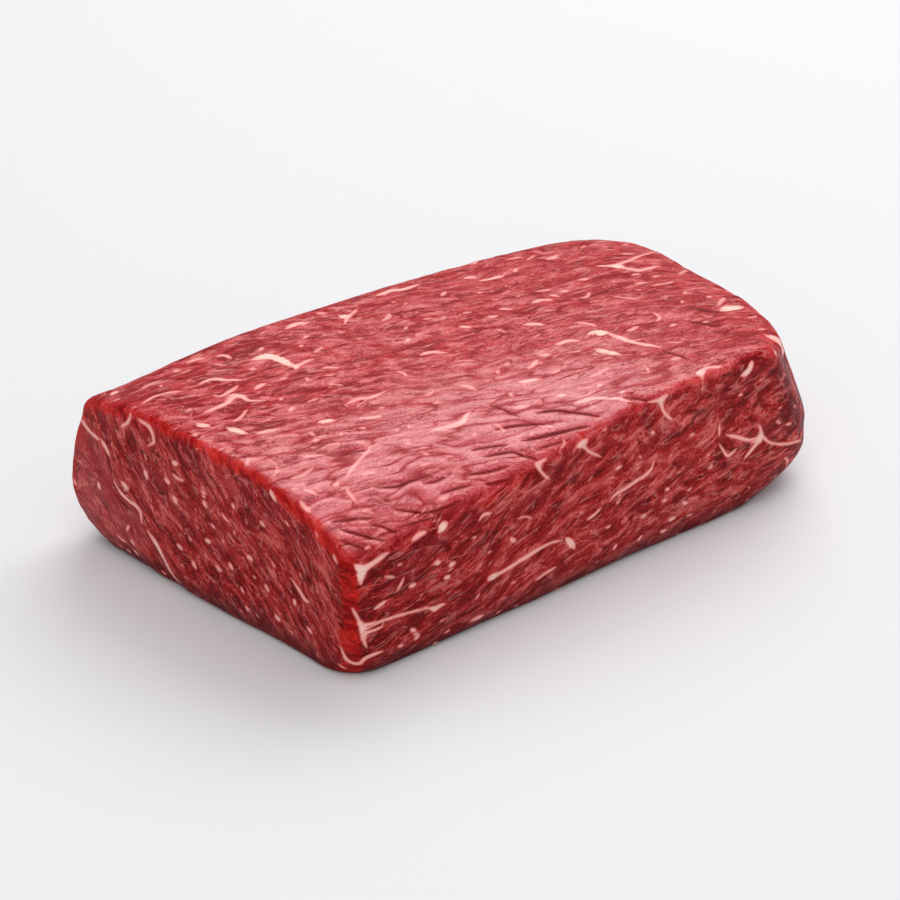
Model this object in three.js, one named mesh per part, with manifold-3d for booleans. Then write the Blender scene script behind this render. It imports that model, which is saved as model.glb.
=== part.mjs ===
// A london broil: one thick block of raw, lean beef top round, lying on its flat underside.
//
// Millimetres, +Z up. +X runs along the block, from its square end to its rounder end, and -Y is its
// near side. The origin is on the level that the block rests on, under the middle of its outer box.
// The block is one solid. It starts as a plain box of grid points, which are moved in steps: the edges
// are softened, the corners rounded, the top crowned, the sides bulged, and the relief of the meat added.

import * as THREE from "three";
import { mergeVertices } from "three/addons/utils/BufferGeometryUtils.js";
import Module from "manifold-3d";

// The plain block
const NEAR_LENGTH = 182.5;
const FAR_LENGTH = 221;
const SQUARE_END_LEAN = 12.5; // how much further out the square end's far corner lies than its near one
const WIDTH = 117.5;
const THICKNESS = 54;
const EDGE_RADIUS = 3;
const CUT_BELOW = 1.5; // the grid starts this far under the resting level, and is sliced off flat there

// The corners: their radius seen from above, at the foot and higher up, and how far the top droops
// there, over what reach along the block and across it
const CORNERS = {
  nearSquare: { radius: [13, 4], droop: 15.5, along: 142, across: 46 },
  farSquare: { radius: [13, 3], droop: 5, along: 60, across: 36 },
  nearRound: { radius: [28, 19], droop: 6, along: 20, across: 48 },
  farRound: { radius: [42, 34], droop: 3.5, along: 120, across: 94 },
};
const FOOT_HEIGHT = 25; // up to here the corners have some of their foot's radius
const SIDE_DEPTH = 0.7; // the sides' bulge and tuck fade out over this share of the way to the middle

// The upright sides, each at its two ends: from square end to round end, or from near to far. The side
// stands out by its bulge at the belly's height, and is drawn in at its foot by its tuck, up to a height.
// Its top edge bows outwards in the middle by its bow.
const BELLY_LEVEL = 0.33;
const SIDES = {
  near: { bulge: [0.5, 4.5], tuck: [5, 0], tuckHeight: [12, 12], bow: 0 },
  far: { bulge: [7, 2.5], tuck: [8, 10], tuckHeight: [21, 25], bow: 0 },
  square: { bulge: [0.5, 2.5], tuck: [1, 4], tuckHeight: [12, 15], bow: 0 },
  round: { bulge: [12, 3], tuck: [24, 14], tuckHeight: [13, 23], bow: 1.4 },
};

// Relief: broad unevenness all over
const SWELL = { height: 0.7, size: 34 };

// Furrows between the bundles of fibres, at full depth on the near half of the top. across and along are
// their spacing and length, bend how much they waver, and ridge cuts off the crests between them.
const FURROW = { depth: 0.75, across: 3, along: 24, bend: 0.8, ridge: 0.3, fadeOver: 70, onSides: 0.35 };
const GRAIN_TURN = THREE.MathUtils.degToRad(-15); // the fibres' direction on the top, from +X
const SHEET_SLANT = THREE.MathUtils.degToRad(45); // the bundles' slant on the square end

// Seams, where two muscles meet: a wavering groove between low swollen shoulders
const SEAM = { depth: 1.1, halfWidth: 3.2, shoulder: 0.8, shoulderWidth: 10, waver: 2.5, waverSize: 18 };

// Grid
const LENGTH_CELLS = 25;
const WIDTH_CELLS = 58;
const HEIGHT_CELLS = 14;
const ROUND_STEPS = 2; // cells on each side of an edge's rounding
const END_CROWDING = 0.35; // how much closer the lines along the length stand near the ends
const MERGE_WITHIN = 1e-3; // points closer than this are one

const HALF_LENGTH = (NEAR_LENGTH + FAR_LENGTH) / 4;
const HALF_WIDTH = WIDTH / 2;
const HALF_THICKNESS = THICKNESS / 2;

const { clamp, lerp, smoothstep } = THREE.MathUtils;

// A fixed pseudo-random number from 0 to 1 for each whole-numbered point.
function latticeValue(i, j, k) {
  const mixed = Math.sin(i * 127.1 + j * 311.7 + k * 74.7) * 43758.5453;
  return mixed - Math.floor(mixed);
}

// Smooth noise from -1 to 1 over space, with features about 1 apart.
function noise(x, y, z) {
  const cell = [x, y, z].map(Math.floor);
  const [fx, fy, fz] = [x, y, z].map((value, n) => smoothstep(value - cell[n], 0, 1));
  let sum = 0;
  for (let corner = 0; corner < 8; corner++) {
    const [dx, dy, dz] = [corner & 1, (corner >> 1) & 1, corner >> 2];
    const share = (dx ? fx : 1 - fx) * (dy ? fy : 1 - fy) * (dz ? fz : 1 - fz);
    sum += share * latticeValue(cell[0] + dx, cell[1] + dy, cell[2] + dz);
  }
  return 2 * sum - 1;
}

// Rounds all edges of the plain box by EDGE_RADIUS. The point lies on the box's surface.
function softenEdges(point) {
  const inner = point.clone();
  inner.x = clamp(inner.x, EDGE_RADIUS - HALF_LENGTH, HALF_LENGTH - EDGE_RADIUS);
  inner.y = clamp(inner.y, EDGE_RADIUS - HALF_WIDTH, HALF_WIDTH - EDGE_RADIUS);
  inner.z = clamp(inner.z, EDGE_RADIUS - HALF_THICKNESS, HALF_THICKNESS - EDGE_RADIUS);
  const outward = point.clone().sub(inner).setLength(EDGE_RADIUS);
  return inner.add(outward);
}

// Rounds the four corners seen from above: the square zone at each corner becomes a quarter disc.
function roundCorners(point, height) {
  const side = point.y < 0 ? "near" : "far";
  const end = point.x < 0 ? "Square" : "Round";
  const radius = lerp(...CORNERS[side + end].radius, smoothstep(height, 0, FOOT_HEIGHT));
  const intoX = clamp((Math.abs(point.x) - HALF_LENGTH + radius) / radius, 0, 1);
  const intoY = clamp((Math.abs(point.y) - HALF_WIDTH + radius) / radius, 0, 1);
  const pulledX = intoX * (1 - Math.sqrt(1 - intoY ** 2 / 2)) * radius;
  const pulledY = intoY * (1 - Math.sqrt(1 - intoX ** 2 / 2)) * radius;
  point.x -= Math.sign(point.x) * pulledX;
  point.y -= Math.sign(point.y) * pulledY;
}

// The top's height over a place on the plan: level in the middle, and drooping at each corner.
function topHeight(u, v) {
  let height = THICKNESS;
  for (const [name, { droop, along, across }] of Object.entries(CORNERS)) {
    const fromEnd = (name.endsWith("Square") ? 1 + u : 1 - u) * HALF_LENGTH;
    const fromSide = (name.startsWith("near") ? 1 + v : 1 - v) * HALF_WIDTH;
    height -= droop * (1 - smoothstep(fromEnd, 0, along)) * Math.max(1 - fromSide / across, 0) ** 2;
  }
  return height;
}

// How far a side stands out at a height. The share runs from 0 at the side's one end to 1 at the other.
function sideOffset({ bulge, tuck, tuckHeight, bow }, share, height) {
  const level = clamp(height / THICKNESS, 0, 1);
  const belly = lerp(...bulge, share) * Math.sin(Math.PI * level ** (Math.log(0.5) / Math.log(BELLY_LEVEL)));
  const under = clamp(1 - height / lerp(...tuckHeight, share), 0, 1);
  const bowed = bow * level * 4 * share * (1 - share);
  return belly + bowed - lerp(...tuck, share) * (1 - Math.sqrt(1 - under ** 2));
}

// Moves a point of the plain box's surface onto the block's smooth form. u and v run from -1 to 1 along
// the length and the width.
function formPoint(boxPoint) {
  const u = clamp(boxPoint.x / HALF_LENGTH, -1, 1);
  const v = clamp(boxPoint.y / HALF_WIDTH, -1, 1);
  const point = softenEdges(boxPoint);
  const height = point.z + HALF_THICKNESS;
  roundCorners(point, height);
  const endSide = u < 0 ? SIDES.square : SIDES.round;
  const longSide = v < 0 ? SIDES.near : SIDES.far;
  const [nearEnd, nearSide] = [u, v].map((value) => smoothstep(Math.abs(value), 1 - SIDE_DEPTH, 1));
  point.x += Math.sign(u) * nearEnd * sideOffset(endSide, (v + 1) / 2, height);
  point.y += Math.sign(v) * nearSide * sideOffset(longSide, (u + 1) / 2, height);
  const across = (point.y + HALF_WIDTH) / WIDTH;
  const length = lerp(NEAR_LENGTH, FAR_LENGTH, across);
  point.x = ((point.x + HALF_LENGTH) / (2 * HALF_LENGTH)) * length - SQUARE_END_LEAN * across;
  point.z = (height / THICKNESS) * (topHeight(u, v) + CUT_BELOW) - CUT_BELOW;
  return point;
}

// Furrows between the bundles of fibres: long along the grain, close together across the sheets.
const ALONG_GRAIN = new THREE.Vector3(Math.cos(GRAIN_TURN), Math.sin(GRAIN_TURN), 0);
const DOWN_SHEET = new THREE.Vector3(0, -Math.cos(SHEET_SLANT), -Math.sin(SHEET_SLANT));
const ACROSS_SHEETS = new THREE.Vector3().crossVectors(ALONG_GRAIN, DOWN_SHEET).normalize();

function furrows(point, normal) {
  const along = point.dot(ALONG_GRAIN) / FURROW.along;
  const across = point.dot(ACROSS_SHEETS) / FURROW.across;
  const down = point.dot(DOWN_SHEET) / FURROW.along;
  const bend = FURROW.bend * noise(2 * along, across / 5, 2 * down);
  const depth = Math.min(noise(along, across + bend, down), FURROW.ridge);
  const onTop = clamp(normal.z, 0, 1) * (1 - smoothstep(point.y, 0, FURROW.fadeOver));
  const cutEnd = smoothstep(Math.abs(normal.x), 0.4, 1);
  return FURROW.depth * lerp(FURROW.onSides, 1, onTop) * (1 - cutEnd) * depth;
}

// The seams between muscles are sheets through the block. Each shows as a groove, between low swollen
// shoulders, where it meets the skin within its reach.
const SEAMS = [
  { through: [-8, 35, 20], normal: [0, 0.73, -0.69], centre: [-8, 35, 20], reach: 46 },
  { through: [160, -60, 25], normal: [0.23, 0.1, 0.97], centre: [178, -50, 22], reach: 48 },
].map(({ through, normal, centre, reach }) => ({
  sheet: new THREE.Plane().setFromNormalAndCoplanarPoint(
    new THREE.Vector3(...normal).normalize(),
    new THREE.Vector3(...through),
  ),
  centre: new THREE.Vector3(...centre),
  reach,
}));

function seamRelief(point, normal) {
  const onSide = 1 - smoothstep(Math.abs(normal.z), 0.4, 0.9);
  let relief = 0;
  for (const { sheet, centre, reach } of SEAMS) {
    const waver = SEAM.waver * noise(...point.clone().divideScalar(SEAM.waverSize));
    const away = sheet.distanceToPoint(point) + waver;
    const fade = 1 - smoothstep(point.distanceTo(centre), reach / 2, reach);
    const groove = SEAM.depth * Math.exp(-((away / SEAM.halfWidth) ** 2));
    const shoulders = SEAM.shoulder * Math.exp(-((away / SEAM.shoulderWidth) ** 2));
    relief += fade * onSide * (shoulders - groove);
  }
  return relief;
}

function swell(point) {
  const { height, size } = SWELL;
  return height * noise(point.x / size + 5, point.y / size + 2, point.z / size + 9);
}

// The grid lines' places from -half to half: a few close ones round each edge, and cells in between,
// which may crowd towards the ends.
function gridLines(half, cells, crowding) {
  const flat = half - EDGE_RADIUS;
  const rounding = [];
  for (let step = 1; step <= ROUND_STEPS; step++) {
    rounding.push(flat + EDGE_RADIUS * Math.tan((step / ROUND_STEPS) * (Math.PI / 4)));
  }
  const between = [];
  for (let step = 0; step <= cells; step++) {
    const even = (2 * step) / cells - 1;
    between.push(flat * lerp(even, Math.sin((even * Math.PI) / 2), crowding));
  }
  return [...rounding.map((place) => -place).reverse(), ...between, ...rounding];
}

// The plain box as a grid of points, moved onto the block's smooth form. The box is first made with cells
// of size 1, so that each point's whole-numbered place says which grid lines it lies on.
function formedGrid() {
  const xs = gridLines(HALF_LENGTH, LENGTH_CELLS, END_CROWDING);
  const ys = gridLines(HALF_WIDTH, WIDTH_CELLS, 0);
  const zs = gridLines(HALF_THICKNESS, HEIGHT_CELLS, 0);
  const cells = [xs.length - 1, ys.length - 1, zs.length - 1];
  const box = new THREE.BoxGeometry(...cells, ...cells);
  box.translate(cells[0] / 2, cells[1] / 2, cells[2] / 2);
  box.deleteAttribute("normal");
  box.deleteAttribute("uv");
  const { position } = box.attributes;
  for (let n = 0; n < position.count; n++) {
    const x = xs[Math.round(position.getX(n))];
    const y = ys[Math.round(position.getY(n))];
    const z = zs[Math.round(position.getZ(n))];
    position.setXYZ(n, ...formPoint(new THREE.Vector3(x, y, z)));
  }
  return mergeVertices(box, MERGE_WITHIN);
}

function addRelief(geometry) {
  geometry.computeVertexNormals();
  const { position, normal } = geometry.attributes;
  const point = new THREE.Vector3();
  const outward = new THREE.Vector3();
  for (let n = 0; n < position.count; n++) {
    point.fromBufferAttribute(position, n);
    outward.fromBufferAttribute(normal, n);
    const relief = swell(point) + furrows(point, outward) + seamRelief(point, outward);
    point.addScaledVector(outward, relief);
    position.setXYZ(n, ...point);
  }
  geometry.deleteAttribute("normal");
}

function toSolid(wasm, geometry) {
  const bare = new THREE.BufferGeometry().setAttribute("position", geometry.getAttribute("position"));
  bare.setIndex(geometry.index);
  const merged = mergeVertices(bare, MERGE_WITHIN);
  return new wasm.Manifold(
    new wasm.Mesh({
      numProp: 3,
      vertProperties: merged.attributes.position.array,
      triVerts: new Uint32Array(merged.index.array),
    }),
  );
}

function toGeometry(solid) {
  const mesh = solid.getMesh();
  return new THREE.BufferGeometry()
    .setAttribute("position", new THREE.BufferAttribute(mesh.vertProperties, mesh.numProp))
    .setIndex(new THREE.BufferAttribute(mesh.triVerts, 1));
}

// Slices the block flat at the level that it rests on.
function sliceFlat(wasm, geometry) {
  const depth = 20;
  const below = new THREE.BoxGeometry(2 * FAR_LENGTH, 2 * FAR_LENGTH, depth);
  below.translate(0, 0, -depth / 2);
  return toGeometry(toSolid(wasm, geometry).subtract(toSolid(wasm, below)));
}

// Puts the origin under the middle of the outer box.
function centre(geometry) {
  geometry.computeBoundingBox();
  const { min, max } = geometry.boundingBox;
  return geometry.translate(-(min.x + max.x) / 2, -(min.y + max.y) / 2, -min.z);
}

const wasm = await Module();
wasm.setup();

const block = formedGrid();
addRelief(block);

const rawBeef = new THREE.MeshStandardMaterial({ color: 0xa83c3a, roughness: 0.42, metalness: 0 });
const meat = new THREE.Mesh(centre(sliceFlat(wasm, block)), rawBeef);
meat.name = "beef_block";

const londonBroil = new THREE.Group();
londonBroil.add(meat);

export default londonBroil;
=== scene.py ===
"""A london broil: a thick block of raw, marbled beef, shown on a plain pale floor.

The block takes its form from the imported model's solid, which is remeshed finer and given the relief of
the meat: the ridges of its bundles of fibres, its creases and the lumps on its rims. The fibres' colours,
the fat and the wet sheen are in its material. Metres, in the model's frame.
"""

import math
from itertools import product
from types import SimpleNamespace

import bpy
import numpy as np
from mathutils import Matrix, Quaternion, Vector
from mathutils.bvhtree import BVHTree
from mathutils.kdtree import KDTree


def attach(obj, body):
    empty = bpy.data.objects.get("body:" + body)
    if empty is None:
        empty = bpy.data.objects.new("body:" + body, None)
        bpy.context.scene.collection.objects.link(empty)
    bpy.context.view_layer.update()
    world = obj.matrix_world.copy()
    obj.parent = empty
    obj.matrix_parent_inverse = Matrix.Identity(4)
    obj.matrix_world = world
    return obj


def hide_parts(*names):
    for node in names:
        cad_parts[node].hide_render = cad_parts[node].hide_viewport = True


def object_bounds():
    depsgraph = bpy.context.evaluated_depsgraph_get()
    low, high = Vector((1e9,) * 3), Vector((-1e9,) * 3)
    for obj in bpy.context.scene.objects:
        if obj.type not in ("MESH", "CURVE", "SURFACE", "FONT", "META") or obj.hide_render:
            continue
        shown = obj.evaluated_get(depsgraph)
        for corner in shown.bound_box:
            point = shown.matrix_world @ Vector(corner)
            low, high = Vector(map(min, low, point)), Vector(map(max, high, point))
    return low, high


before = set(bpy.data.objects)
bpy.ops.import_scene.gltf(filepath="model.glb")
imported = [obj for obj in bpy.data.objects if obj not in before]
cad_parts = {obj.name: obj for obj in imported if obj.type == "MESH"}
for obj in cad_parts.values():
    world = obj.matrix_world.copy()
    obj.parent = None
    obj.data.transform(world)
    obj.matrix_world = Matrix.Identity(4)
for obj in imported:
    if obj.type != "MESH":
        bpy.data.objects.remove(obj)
CAD_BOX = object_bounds()
LOW, HIGH = CAD_BOX
HEIGHT = HIGH[2] - LOW[2]
MM = 0.001

# The photograph's camera, fitted to the block's outline there. Its picture is 900 pixels square, and its
# axis meets the floor at AIM. LENS and SENSOR are in millimetres.
PICTURE = 900
LENS = 85
SENSOR = 36
DISTANCE = 0.721
AZIMUTH = math.radians(-40)
ELEVATION = math.radians(28)
AIM = Vector((0.01592, 0.03060, 0.0))
AWAY = Vector((math.sin(-AZIMUTH), math.cos(AZIMUTH), 0))
RIGHT = Vector((AWAY.y, -AWAY.x, 0))
LOOK = AWAY * math.cos(ELEVATION) - Vector((0, 0, math.sin(ELEVATION)))
LIFT = RIGHT.cross(LOOK)
CAMERA_PLACE = AIM - LOOK * DISTANCE
PIXEL_SLOPE = SENSOR / LENS / PICTURE


def add_camera():
    data = bpy.data.cameras.new("camera")
    data.lens = LENS
    data.sensor_width = SENSOR
    camera = bpy.data.objects.new("camera", data)
    bpy.context.scene.collection.objects.link(camera)
    camera.location = CAMERA_PLACE
    camera.rotation_euler = LOOK.to_track_quat("-Z", "Y").to_euler()
    bpy.context.scene.camera = camera


def on_surface(tree, x, y):
    """What a pixel of the photograph shows of a surface: the place, its normal and more."""
    direction = LOOK + (RIGHT * (x - PICTURE / 2) + LIFT * (PICTURE / 2 - y)) * PIXEL_SLOPE
    return tree.ray_cast(CAMERA_PLACE, direction.normalized())


def pixels_of(places):
    """Where places show in the photograph: across from its left edge and down from its top edge."""
    offset = places - np.array(CAMERA_PLACE)
    depth = offset @ np.array(LOOK) * PIXEL_SLOPE
    return PICTURE / 2 + offset @ np.array(RIGHT) / depth, PICTURE / 2 - offset @ np.array(LIFT) / depth


# Noise over many points at once. Each noise has a seed of its own.
WIDE_BENDS, USUAL_BENDS, SHIFTS, BUNDLES, SMALL_BUNDLES = range(1, 6)
SWELLS, BUMPS, SMALL_BENDS, RIM_LUMPS, RIM_PATCHES = range(6, 11)


def lattice(cells, seed):
    """A fixed pseudo-random number from -1 to 1 for each whole-numbered point. The large factors only mix
    the bits."""
    i, j, k = (cells[:, n].astype(np.uint32) for n in range(3))
    mixed = i * np.uint32(73856093) ^ j * np.uint32(19349663) ^ k * np.uint32(83492791)
    mixed = (mixed ^ np.uint32(seed * 2654435761 % 2**32)) * np.uint32(2246822519)
    mixed = (mixed ^ (mixed >> np.uint32(15))) * np.uint32(3266489917)
    mixed ^= mixed >> np.uint32(13)
    return mixed.astype(np.float64) / 2**31 - 1


def noise(points, seed):
    """Smooth noise from -1 to 1, with features about 1 apart."""
    floor = np.floor(points)
    part = points - floor
    part = part**3 * (part * (part * 6 - 15) + 10)
    cells = floor.astype(np.int64) + 2**20
    total = np.zeros(len(points))
    for corner in range(8):
        step = np.array([corner & 1, corner >> 1 & 1, corner >> 2])
        share = np.prod(np.where(step, part, 1 - part), axis=1)
        total += share * lattice(cells + step, seed)
    return total


def smooth_step(value, low, high):
    """0 up to low and 1 from high on, with a smooth change between them."""
    share = np.clip((value - low) / (high - low), 0, 1)
    return share * share * (3 - 2 * share)


# The fibres' directions. They run along the block, turned a little on the top, and lie in sheets that
# slant down towards the near side. "across" is through the sheets.
GRAIN_TURN = math.radians(-15)
ALONG = np.array([math.cos(GRAIN_TURN), math.sin(GRAIN_TURN), 0.0])
DOWN = np.array([0.0, -math.sqrt(0.5), -math.sqrt(0.5)])
ACROSS = np.cross(ALONG, DOWN)
ACROSS /= np.linalg.norm(ACROSS)

# The fibres' bends, in millimetres: how far apart they are, how deep on the top, and how much deeper on the
# sides, which start below this band of heights
BENDS = (
    (WIDE_BENDS, 60, 4.0, 0.0),
    (USUAL_BENDS, 18, 1.4, 0.8),
    (SMALL_BENDS, 6, 0.5, 0.1),
)
TOP_BAND = (44, 52)

# Past this place along the block, in millimetres, the fibres fan out towards the round end
FAN_START = 75
FAN_BEND = 0.012

# How far the whole grain shifts along itself, and how far apart the shifts are, in millimetres
SHIFT = 3.0
SHIFT_APART = 40

# A place belongs to an end, or to the top, where its normal's part that way is more than this
OWN_FACE = 0.7


def fibre_heading(normal):
    """Which way the streaks run on a face: down the sheets on the ends, where the fibres are cut across."""
    return DOWN if abs(normal.x) > OWN_FACE else ALONG


def grain_places(points):
    """Each point's place along, down and across the fibres, in millimetres, with the fibres' bends."""
    mm = points / MM
    below_top = 1 - smooth_step(mm[:, 2], *TOP_BAND)
    bend = sum((depth + more * below_top) * noise(mm / apart, seed) for seed, apart, depth, more in BENDS)
    fan = FAN_BEND * np.maximum(mm[:, 0] - FAN_START, 0) ** 2
    shift = SHIFT * noise(mm / SHIFT_APART, SHIFTS)
    return np.stack([mm @ ALONG + shift, mm @ DOWN + shift, mm @ ACROSS + bend + fan], axis=1)


# The block's mesh: the size of its facets, and the rounds that smooth its steps away
VOXEL = 0.97 * MM
SMOOTHING = 3


def fine_copy(node):
    """A finely remeshed copy of a node, with its facets smoothed away."""
    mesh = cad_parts[node].data.copy()
    block = bpy.data.objects.new("beef", mesh)
    bpy.context.scene.collection.objects.link(block)
    remesh = block.modifiers.new("remesh", "REMESH")
    remesh.mode = "VOXEL"
    remesh.voxel_size = VOXEL
    smooth = block.modifiers.new("smooth", "SMOOTH")
    smooth.iterations = SMOOTHING
    done = block.evaluated_get(bpy.context.evaluated_depsgraph_get())
    block_mesh = bpy.data.meshes.new_from_object(done)
    block.modifiers.clear()
    block.data = block_mesh
    return block


def vectors(items, name):
    """A named vector of each item, such as a vertex's place."""
    values = np.empty(3 * len(items))
    items.foreach_get(name, values)
    return values.reshape(-1, 3)


def move_vertices(mesh, places):
    mesh.vertices.foreach_set("co", places.ravel())
    mesh.update()


def neighbour_mean(mesh, values, rounds):
    """Each vertex's value, averaged with its neighbours' a number of times."""
    edges = np.empty(2 * len(mesh.edges), np.int64)
    mesh.edges.foreach_get("vertices", edges)
    first, second = edges.reshape(-1, 2).T
    count = np.bincount(edges, minlength=len(values)).astype(float)
    for _ in range(rounds):
        total = np.bincount(first, values[second], len(values))
        total += np.bincount(second, values[first], len(values))
        values = 0.5 * values + 0.5 * total / count
    return values


def rounded_places(mesh, places, rounds):
    """The vertices' places on a rounder surface."""
    return np.stack([neighbour_mean(mesh, places[:, n], rounds) for n in range(3)], axis=1)


def store(mesh, name, values):
    kind = "FLOAT_VECTOR" if values.ndim == 2 else "FLOAT"
    field = "vector" if values.ndim == 2 else "value"
    mesh.attributes.new(name, kind, "POINT").data.foreach_set(field, values.astype(np.float32).ravel())


def facing(normals, way, start, full):
    """From 0 to 1 as the surface turns to face a way. It starts and is full at these cosines."""
    return smooth_step(normals @ np.array(way), start, full)


# Ways to face
UP = Vector((0, 0, 1))
NEAR = Vector((0, -1, 0))
FAR = Vector((0, 1, 0))
SQUARE_END = Vector((-1, 0, 0))
ROUND_END = Vector((1, 0, 0))

# Stretches of the block, from its middle: where each change starts and where it is full
FAR_CORNER_ALONG = (50 * MM, 80 * MM)
FAR_CORNER_ACROSS = (-30 * MM, 0)
FADING_RIM = (30 * MM, 90 * MM)
RIPPLES_ALONG = (-20 * MM, 80 * MM)
RIPPLES_ACROSS = (-50 * MM, 10 * MM)
NEAR_EDGE = (-66 * MM, -46 * MM)
STREAKS_ALONG = (-80 * MM, -20 * MM)
SMOOTHER_END = (50 * MM, 90 * MM)
# The next band of heights is where the painted shadow at the foot of the sides fades out
FOOT_SHADOW_BAND = (0, 11 * MM)
FLOOR_BAND = (0, 2 * MM)

# Rounds of averaging with the neighbours: to soften the far corner, to find the edges, which that moves
# inward by up to SHARP millimetres, and to even out what was found
FAR_CORNER_ROUNDS = 40
RIM_ROUNDS = 10
EVENING_ROUNDS = 3
SHARP = 0.4

# The patches of painted glow on the upright corners' rims are about this far apart, in millimetres
PATCH_APART = 8


def edge_sharpness(mesh, places, normals):
    """From 0 on flat stretches to 1 on the block's convex edges, where rounding moves the surface inward by
    SHARP millimetres or more."""
    moved = places - rounded_places(mesh, places, RIM_ROUNDS)
    inward = np.sum(moved * normals, axis=1) / MM
    return np.clip(neighbour_mean(mesh, inward, EVENING_ROUNDS) / SHARP, 0, 1)


def soften_far_corner(mesh):
    """Rounds the block more softly at the round end's far corner, where its facets are longest."""
    places = vectors(mesh.vertices, "co")
    soft = rounded_places(mesh, places, FAR_CORNER_ROUNDS)
    share = smooth_step(places[:, 0], *FAR_CORNER_ALONG) * smooth_step(places[:, 1], *FAR_CORNER_ACROSS)
    move_vertices(mesh, places + (soft - places) * share[:, None])


def rim_glow_strength(sharpness, places, normals):
    """How strongly the rims are painted with a red glow, for the light that shines through the meat's thin
    edges: most round the two ends, less along the sides, and in patches on the upright corners, which are
    reddest at the square end."""
    near = facing(normals, NEAR, 0.1, 0.3)
    to_square = facing(normals, SQUARE_END, 0.1, 0.3)
    along, across = np.abs(normals[:, 0]), np.abs(normals[:, 1])
    near_rim = 0.38 * near * (1 - smooth_step(places[:, 0], *FADING_RIM))
    edge = 1.15 * sharpness * (0.35 + near_rim + 0.65 * smooth_step(along, 0.15, 0.45))
    patches = 0.42 + 0.34 * noise(places / MM / PATCH_APART, RIM_PATCHES)
    patches += to_square * (0.16 + 0.18 * near)
    corner = patches * smooth_step(np.minimum(along, across), 0.32, 0.56)
    round_end = 0.58 * facing(normals, ROUND_END, 0.13, 0.36) * facing(normals, UP, 0.3, 0.6)
    return np.max([edge, corner, round_end], axis=0)


def painted_foot_shadow(places, normals):
    """1 just above the floor, where the sides get a painted contact shadow, down to 0, but not at the red
    near corner.
    """
    near_corner = smooth_step(np.minimum(-normals[:, 0], -normals[:, 1]), 0.3, 0.55)
    return (1 - smooth_step(places[:, 2], *FOOT_SHADOW_BAND)) * (1 - 0.8 * near_corner)


# The seam on the square end between its main muscle and a small, paler one at the far corner: the pixels
# that it passes through
SEAM = ((76, 412), (91, 433), (101, 443), (110, 462), (117, 488), (131, 503), (142, 515), (148, 545))


def small_muscle(places, normals):
    """1 on the square end's small muscle, down to 0."""
    across, down = pixels_of(places)
    seam = np.interp(down, [y for _, y in SEAM], [x for x, _ in SEAM])
    return smooth_step(seam - across, -1, 5) * facing(normals, SQUARE_END, 0.3, 0.6)


# How far in from a side the top's height is looked up for it
TOP_SETBACK = 8 * MM


def levelled(places, normals, tree):
    """The places with their heights stretched, as if the top were level, so that the grain that is worked
    out from them doesn't stretch where the top droops."""
    upright = 1 - facing(normals, UP, 0.2, 0.8)
    level = places.copy()
    for index, (place, normal) in enumerate(zip(places, normals)):
        inward = Vector(place) - Vector((normal[0], normal[1], 0)) * TOP_SETBACK * upright[index]
        top = tree.ray_cast(Vector((inward.x, inward.y, 1)), Vector((0, 0, -1)))[0]
        if top is not None and top.z > 0.5 * HEIGHT:
            level[index, 2] *= HEIGHT / top.z
    return level


def rippled_part(places, normals):
    """1 on the near part of the top next to the square end, where the ridges stand highest, down to 0."""
    near = 1 - smooth_step(places[:, 1], *RIPPLES_ACROSS)
    early = 1 - smooth_step(places[:, 0], *RIPPLES_ALONG)
    return near * early * facing(normals, UP, 0.5, 0.9)


def painted_sheen_part(places, rippled):
    """1 on the inner part of the ridges, which gets a painted pale sheen, down to 0 at the near edge."""
    return rippled * smooth_step(places[:, 1], *NEAR_EDGE)


def streaky_part(places, normals):
    """1 on the top next to the square end, where the streaks are strongest, down to 0."""
    return (1 - smooth_step(places[:, 0], *STREAKS_ALONG)) * facing(normals, UP, 0.3, 0.7)


def far_edge_shade(normals):
    """1 on the top's rounded far edge, which gets a painted shade, down to 0."""
    return facing(normals, FAR, 0.04, 0.30) * facing(normals, UP, 0.3, 0.8)


# Painted light and shade on the near side: how much lighter it is than the rest, at places along the block.
# It is darkest at its ends.
NEAR_SHADE_STOPS = (-90 * MM, -30 * MM, 40 * MM, 100 * MM)
NEAR_SHADES = (-0.10, 0.01, 0.04, -0.16)


def near_shade(places, normals):
    """What the near side's painted light and shade add to the tone, and 0 on the other faces."""
    return np.interp(places[:, 0], NEAR_SHADE_STOPS, NEAR_SHADES) * facing(normals, NEAR, 0.3, 0.7)


# The sizes of the bundles of fibres along, down and across the grain, in millimetres
BUNDLE_SIZE = np.array([20.0, 13.0, 2.5])
SMALL_BUNDLE_SIZE = np.array([8.0, 6.0, 1.2])

# The furrows between the bundles are where their noise is nearer to 0 than this
FURROW = 0.34

# The relief's forms, in millimetres: how high they are, and how far apart
RIDGE = 0.20
RIPPLE_EXTRA = 0.08
SWELL = 0.16
SWELL_APART = 16
BUMP = 0.08
BUMP_APART = 4.5
RIM_LUMP = 0.25
RIM_LUMP_APART = 3.6

# A crease's depth, and how much wider its hollow is than its dark line, in millimetres
CREASE_DEPTH = 0.45
HOLLOW_EXTRA = 0.6


def bundle_noise(grain):
    """Noise whose zeroes are the furrows between the bundles of fibres."""
    return noise(grain / BUNDLE_SIZE, BUNDLES) + 0.35 * noise(grain / SMALL_BUNDLE_SIZE, SMALL_BUNDLES)


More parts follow.
